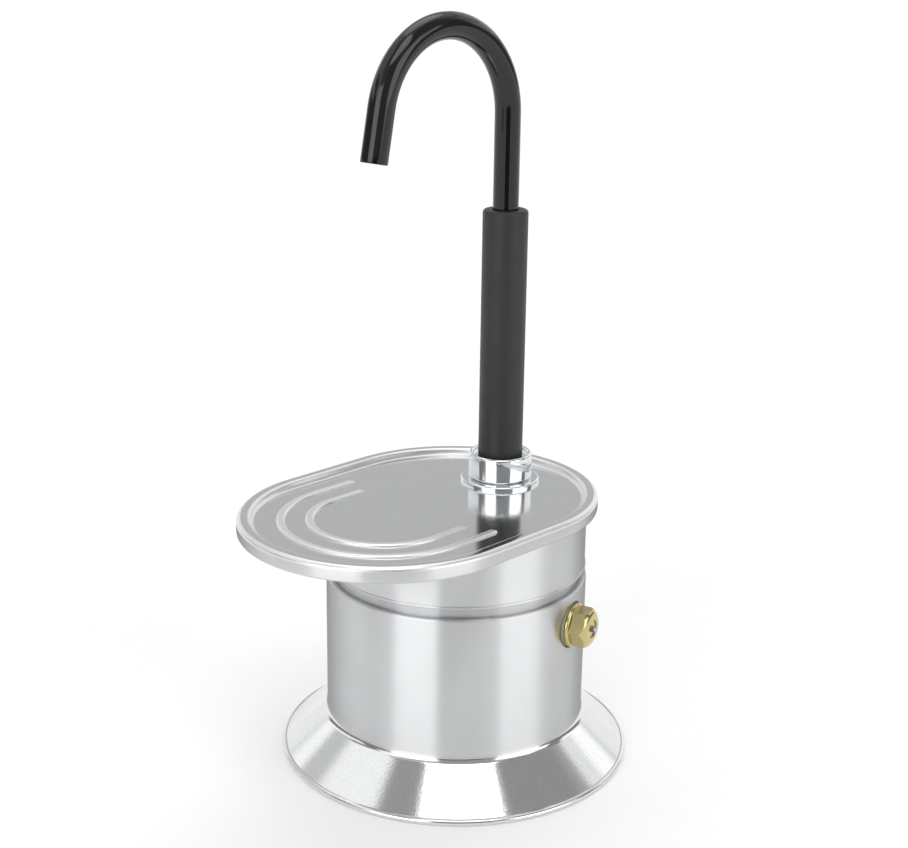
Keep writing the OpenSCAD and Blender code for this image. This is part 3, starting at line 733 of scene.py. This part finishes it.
def bead_tree(finish):
    """A Geometry Nodes tree that sweeps a flat-topped rib with round shoulders along a curve. Fade is
    the length over which each end grows from its least size."""
    shoulder_steps = 6
    least_size = 0.1
    tree = bpy.data.node_groups.new("bead_rib", "GeometryNodeTree")
    tree.interface.new_socket("Geometry", in_out="INPUT", socket_type="NodeSocketGeometry")
    for label in ("Width", "Height", "Fade"):
        tree.interface.new_socket(label, in_out="INPUT", socket_type="NodeSocketFloat")
    tree.interface.new_socket("Geometry", in_out="OUTPUT", socket_type="NodeSocketGeometry")
    given = add(tree, "NodeGroupInput").outputs
    path = add(tree, "GeometryNodeSetCurveNormal", {"Curve": given["Geometry"]}, mode="Z_UP")
    tall = add(tree, "ShaderNodeMath", {0: given["Height"], 1: given["Height"]}, operation="ADD")
    slab = add(tree, "GeometryNodeCurvePrimitiveQuadrilateral",
               {"Width": given["Width"], "Height": tall.outputs[0]}, mode="RECTANGLE")
    section = add(tree, "GeometryNodeFilletCurve",
                  {"Curve": slab.outputs["Curve"], "Radius": given["Height"]},
                  {"Count": shoulder_steps, "Limit Radius": True}, mode="POLY")
    share = add(tree, "GeometryNodeSplineParameter")
    reach = add(tree, "GeometryNodeSplineLength")
    rest = add(tree, "ShaderNodeMath", {0: reach.outputs["Length"], 1: share.outputs["Length"]},
               operation="SUBTRACT")
    near = add(tree, "ShaderNodeMath", {0: share.outputs["Length"], 1: rest.outputs[0]}, operation="MINIMUM")
    grown = add(tree, "ShaderNodeMath", {0: near.outputs[0], 1: given["Fade"]}, operation="DIVIDE")
    size = add(tree, "ShaderNodeClamp", {"Value": grown.outputs[0]}, {"Min": least_size, "Max": 1})
    sweep(tree, path, section, size, finish)
    return tree


def u_path(name, r, leg, z):
    """A curve round the cup's place: a leg, a half circle in front of the cup's centre, and a leg."""
    turns = [math.radians(180 + 180 * k / half_turn_steps) for k in range(half_turn_steps + 1)]
    bow = [Vector((r * math.cos(t), cup_y + r * math.sin(t), z)) for t in turns]
    legs = [leg * (1 - k / straight_steps) for k in range(straight_steps)]
    points = [Vector((-r, cup_y + reach, z)) for reach in legs] + bow
    points += [Vector((r, cup_y + reach, z)) for reach in reversed(legs)]
    curve = bpy.data.curves.new(name, "CURVE")
    curve.dimensions = "3D"
    spline = curve.splines.new("POLY")
    spline.points.add(len(points) - 1)
    for place, point in zip(spline.points, points):
        place.co = (*point, 1)
    path = bpy.data.objects.new(name, curve)
    bpy.context.scene.collection.objects.link(path)
    return path


rib_of_bead = bead_tree(pressed_aluminium)
for name, r, leg in beads:
    bead = grow(name, u_path(name, r, leg, plate_floor), rib_of_bead,
                {"Width": bead_w, "Height": bead_h, "Fade": bead_fade})
    dress(bead, "upper", "polished_aluminium", pressed_aluminium)

# Spout fitting: a chromed flange on a seal, with a shank through the plate and a nut below it, a
# clamping ring on the tube, and a round chromed ferrule with an open cup on top that closes it.
flange_r = 9.5 * mm
flange_h = 1 * mm
fitting_seal_r = 6.75 * mm
fitting_seal_h = 0.5 * mm
shank_r = 4.05 * mm
shank_low = 58.6 * mm
boss_r = 5.4 * mm
boss_top = 67.6 * mm
boss_mouth_r = 4 * mm
tube_bore = 3.05 * mm
tube_r = 3 * mm
tube_ri = 2.4 * mm
tube_low = 62.55 * mm
ferrule_r = 7.6 * mm
ferrule_floor = 70.05 * mm
ferrule_top = 71.05 * mm
ferrule_lip = 1.2 * mm
ferrule_round = 0.7 * mm
ferrule_throat = 68.4 * mm
olive_r = 4.4 * mm
flange_round = flange_h / 2
# Chrome plate, bright: a clear mirror that shows the plate and the studio in hard stripes.
bright_chrome = worked_metal("bright_chrome", "#E6E8EA", "#DDE0E2", 0.05, 1.5 * mm, 0.001 * mm)
fitting = lathe("spout_fitting", [
    (tube_ri, shank_low),
    (shank_r, shank_low),
    (shank_r, plate_floor + fitting_seal_h),
    (fitting_seal_r, plate_floor + fitting_seal_h),
    (fitting_seal_r, plate_floor),
    (flange_r, plate_floor),
    *arc(flange_r - flange_round, plate_floor + flange_h - flange_round, flange_round, 0, 90, 6),
    (boss_r, plate_floor + flange_h),
    (boss_r, boss_top),
    (boss_mouth_r, boss_top),
    (tube_bore, boss_top - (boss_mouth_r - tube_bore)),
    (tube_bore, tube_low),
    (tube_ri, tube_low)], spout_place, looped=True, steps=96)
dress(fitting, "upper", "chrome", bright_chrome, "fitting_body")
ferrule_base = plate_floor + flange_h
ferrule_play = 0.05 * mm
ferrule_bore = boss_r + ferrule_play
ferrule = lathe("spout_ferrule", [
    (ferrule_bore, ferrule_base),
    *arc(ferrule_r - ferrule_round, ferrule_base + ferrule_round, ferrule_round, -90, 0, 6),
    *arc(ferrule_r - ferrule_lip / 2, ferrule_top - ferrule_lip / 2, ferrule_lip / 2, 0, 180, 12),
    (ferrule_r - ferrule_lip, ferrule_floor),
    (tube_bore, ferrule_floor),
    (tube_bore, ferrule_throat + olive_r - tube_bore),
    (olive_r, ferrule_throat),
    (ferrule_bore, ferrule_throat)], spout_place, looped=True, steps=128)
dress(ferrule, "upper", "chrome", bright_chrome, "ferrule_nut")
finish_node("fitting_ring", moulded_silicone)
finish_node("fitting_nut", machined_brass)
finish_node("tube_olive", machined_brass)

# Spout: a thin steel tube bent over in one gooseneck and coated gloss black, open at its cut end.
# It stands in the fitting and ends above the cup. Its tip is tip_spare longer than the CAD tube's.
bend_angle = math.radians(169)
mouth_y = cup_y - 2.6 * mm
mouth_z = plate_floor + 81 * mm
tip_len = 10.5 * mm
tip_spare = 1.1 * mm
cut_round = 0.15 * mm
bend_r = (spout_y - mouth_y - tip_len * math.sin(bend_angle)) / (1 - math.cos(bend_angle))
bend_z = mouth_z - bend_r * math.sin(bend_angle) - tip_len * math.cos(bend_angle)
upright_steps = 24
bend_steps = 72
tip_steps = 8
tube_sides = 48


def along_spout():
    """Stations up the tube's middle line: a point, and the angle bent so far."""
    stations = []
    for k in range(upright_steps):
        stations.append((Vector((0, spout_y, tube_low + (bend_z - tube_low) * k / upright_steps)), 0))
    for k in range(bend_steps + 1):
        turn = bend_angle * k / bend_steps
        reach = Vector((0, math.cos(turn) - 1, math.sin(turn))) * bend_r
        stations.append((Vector((0, spout_y, bend_z)) + reach, turn))
    heading = Vector((0, -math.sin(bend_angle), math.cos(bend_angle)))
    end = stations[-1][0]
    for k in range(1, tip_steps + 1):
        stations.append((end + heading * (tip_len + tip_spare) * k / tip_steps, bend_angle))
    return stations


def tube_ring(middle, turn, r, ahead=0):
    """A ring round the tube's middle line, square to it, and a little ahead of its station."""
    side = Vector((0, math.cos(turn), math.sin(turn)))
    heading = Vector((0, -math.sin(turn), math.cos(turn)))
    angles = [2 * math.pi * k / tube_sides for k in range(tube_sides)]
    centre = middle + heading * ahead
    return [centre + r * (math.cos(a) * Vector((1, 0, 0)) + math.sin(a) * side) for a in angles]


stations = along_spout()
tube_rings = [tube_ring(p, t, tube_r) for p, t in stations[:-1]]
mouth, mouth_turn = stations[-1]
lip = arc(tube_r - cut_round, -cut_round, cut_round, 0, 90, 4)
lip += arc(tube_ri + cut_round, -cut_round, cut_round, 90, 180, 4)
tube_rings += [tube_ring(mouth, mouth_turn, r, ahead) for r, ahead in lip]
tube_rings += [tube_ring(p, t, tube_ri) for p, t in reversed(stations[:-1])]
spout = skin("spout_gooseneck", tube_rings, 2 * math.pi * tube_r, looped=True)
# Stove enamel, gloss black: deep black with sharp stripes of light, which a faint orange peel breaks up.
gloss_enamel = surface("gloss_black_enamel", "#0B0B0C", "#0F0F10", 0.08, (0.85, 1.15), (8 * mm, 3, 0.5),
                       (1.2 * mm, 1, 0.5), 0.002 * mm)
dress(spout, "upper", "black_tube", gloss_enamel, "spout_tube")

# Grip sleeve: a matte black rubber tube pushed down over the spout into the ferrule's cup, with a
# soft edge at the top. The spout is turned or steadied by it.
sleeve_r = 5.3 * mm
sleeve_low = 70.1 * mm
sleeve_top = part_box("grip_sleeve")[1].z
sleeve_round = 0.8 * mm
sleeve_mouth = 0.3 * mm
# Rubber, moulded and matte: dark grey with a broad faint sheen and no stripes.
matte_rubber = moulded("matte_rubber", "#262627", "#202021", 0.5, 0.35 * mm, 0.008 * mm)
sleeve = lathe("grip_sleeve_rubber", [
    (tube_bore, sleeve_low),
    (sleeve_r - sleeve_mouth, sleeve_low),
    (sleeve_r, sleeve_low + sleeve_mouth),
    *arc(sleeve_r - sleeve_round, sleeve_top - sleeve_round, sleeve_round, 0, 90, 8),
    *arc(tube_bore + sleeve_mouth, sleeve_top - sleeve_mouth, sleeve_mouth, 90, 180, 4)],
    spout_place, looped=True, steps=96)
dress(sleeve, "upper", "black_rubber", matte_rubber, "grip_sleeve")

# Studio: a wide pale light table under a grey dome, with a broad soft light from above and behind.
# A pale wall that only the camera sees stands round it, and a dark card that only reflections see
# darkens the front of the tube. Pale and dark panels in the dome draw the bands on the metal.
floor_half = 8
floor_glow = 0.085
wall_r = 7.5
wall_h = 6
wall_sides = 64
wall_glow = 0.4
card_far = 0.6
card_left = -0.16
card_right = 0.25
card_top = 0.2
dome_grey = 0.56
overhead_power = 0.4
overhead_angle = 40
overhead_tilt = -25
# Each panel stands between two angles to the right of the camera's direction and two heights, in
# degrees, with the width of its soft edge and its brightness. A later panel covers an earlier one.
panels = [
    (-166, -60, -5, 34, 4, 0.25),   # dim left side
    (-166, -84, 14, 24, 2, 1.15),   # strip over it, for the ferrule and the foot's left edge
    (-166, -102, 24, 38, 2, 0.65),  # fainter strip above that
    (-53, -15, 1, 32, 3, 2.7),      # window for the body's left band
    (-70, -53, 22, 42, 3, 1.2),     # spill beside it
    (-15, 37, -5, 52, 3, 0.36),     # dim middle between the body's bands
    (37, 74, 1, 32, 3, 2.3),        # window for the body's right band
    (76, 166, -5, 34, 4, 0.25),     # dim right side
    (70, 86, 14, 26, 2, 2.0),       # spill beside the right window
    (104, 166, 14, 26, 2, 1.25),    # strip for the ferrule and the foot's right edge
    (108, 166, 26, 40, 2, 0.95),    # fainter strip above that
    (-34, 48, 52, 86, 2, 2.8),      # skylight, the foot's white middle
    (-70, -34, 52, 72, 2, 0.36),    # the foot's dark part left of it
    (-112, -70, 34, 64, 2, 1.1),    # the foot's pale left part
    (48, 106, 36, 70, 2, 0.33),     # the foot's dark part on the right
    (-190, -114, 42, 80, 4, 0.9),   # pale sky behind, left, for the plate seen from above
    (120, 190, 44, 80, 4, 0.9),     # pale sky behind, right
    (-172, -132, -2, 14, 3, 1.0),   # the foot's far left flank
    (132, 172, -2, 14, 3, 1.0)]     # the foot's far right flank


def paper(name, colour, worn, glow):
    """Matt studio paper without gloss, which glows a little so that it stays white in a picture."""
    material = moulded(name, colour, worn, 0.9, 2 * mm, 0.001 * mm)
    shader = material.node_tree.nodes["Principled BSDF"]
    shader.inputs["Specular IOR Level"].default_value = 0
    shader.inputs["Emission Color"].default_value = (1, 1, 1, 1)
    shader.inputs["Emission Strength"].default_value = glow
    return material


def stand(name, points, faces, finish, unseen_by=()):
    """Stands a prop in the studio. unseen_by names the kinds of ray that pass it by."""
    mesh = bpy.data.meshes.new(name)
    mesh.from_pydata(points, [], faces)
    mesh.materials.append(finish)
    prop = bpy.data.objects.new(name, mesh)
    bpy.context.scene.collection.objects.link(prop)
    for ray in unseen_by:
        setattr(prop, "visible_" + ray, False)


square = [(-1, -1), (1, -1), (1, 1), (-1, 1)]
stand("studio_floor", [(floor_half * x, floor_half * y, 0) for x, y in square], [(0, 1, 2, 3)],
      paper("studio_paper", "#F4F4F4", "#F1F1F1", floor_glow))
wall_turns = [2 * math.pi * k / wall_sides for k in range(wall_sides)]
wall_nexts = [(k + 1) % wall_sides for k in range(wall_sides)]
stand("studio_wall",
      [(wall_r * math.cos(t), wall_r * math.sin(t), z) for z in (0, wall_h) for t in wall_turns],
      [(k, k + wall_sides, after + wall_sides, after) for k, after in enumerate(wall_nexts)],
      paper("lit_studio_paper", "#F4F4F4", "#F1F1F1", wall_glow), ("diffuse", "glossy", "shadow"))
card_corners = ((card_left, 0), (card_right, 0), (card_right, card_top), (card_left, card_top))
stand("dark_card", [to_frame @ Vector((x, -card_far, z)) for x, z in card_corners], [(0, 1, 2, 3)],
      moulded("grey_card", "#505050", "#4A4A4A", 0.9, 2 * mm, 0.001 * mm), ("camera", "diffuse", "shadow"))

overhead_data = bpy.data.lights.new("overhead", "SUN")
overhead_data.energy = overhead_power
overhead_data.angle = math.radians(overhead_angle)
overhead = bpy.data.objects.new("overhead", overhead_data)
overhead.rotation_euler = (math.radians(overhead_tilt), 0, camera_turn)
bpy.context.scene.collection.objects.link(overhead)

world = bpy.data.worlds.new("studio_dome")
world.use_nodes = True
dome = world.node_tree
way = add(dome, "ShaderNodeTexCoord").outputs["Generated"]
to_camera = add(dome, "ShaderNodeVectorMath", {0: way}, {1: to_frame @ Vector((0, -1, 0))},
                operation="DOT_PRODUCT")
to_right = add(dome, "ShaderNodeVectorMath", {0: way}, {1: to_frame @ Vector((1, 0, 0))},
               operation="DOT_PRODUCT")
height = add(dome, "ShaderNodeVectorMath", {0: way}, {1: (0, 0, 1)}, operation="DOT_PRODUCT")
turned_by = add(dome, "ShaderNodeMath", {0: to_right.outputs["Value"], 1: to_camera.outputs["Value"]},
                operation="ARCTAN2")
raised_by = add(dome, "ShaderNodeMath", {0: height.outputs["Value"]}, operation="ARCSINE")
glow = None
for start, end, low, high, soft, brightness in panels:
    inside = None
    for angle, near, far in ((turned_by, start, end), (raised_by, low, high)):
        for limit, way_in in ((near, 1), (far, -1)):
            step = add(dome, "ShaderNodeMapRange", {"Value": angle.outputs[0]},
                       {"From Min": math.radians(limit - soft * way_in),
                        "From Max": math.radians(limit + soft * way_in)},
                       interpolation_type="SMOOTHSTEP")
            if inside:
                inside = add(dome, "ShaderNodeMath", {0: inside.outputs[0], 1: step.outputs["Result"]},
                             operation="MULTIPLY")
            else:
                inside = step
    panel = add(dome, "ShaderNodeMix", {"Factor": inside.outputs[0]}, {"A": dome_grey, "B": brightness},
                data_type="FLOAT")
    if glow:
        dome.links.new(glow, panel.inputs["A"])
    glow = panel.outputs["Result"]
sky = dome.nodes["Background"]
dome.links.new(glow, sky.inputs["Color"])
bpy.context.scene.world = world
bpy.context.scene.view_settings.view_transform = "Standard"
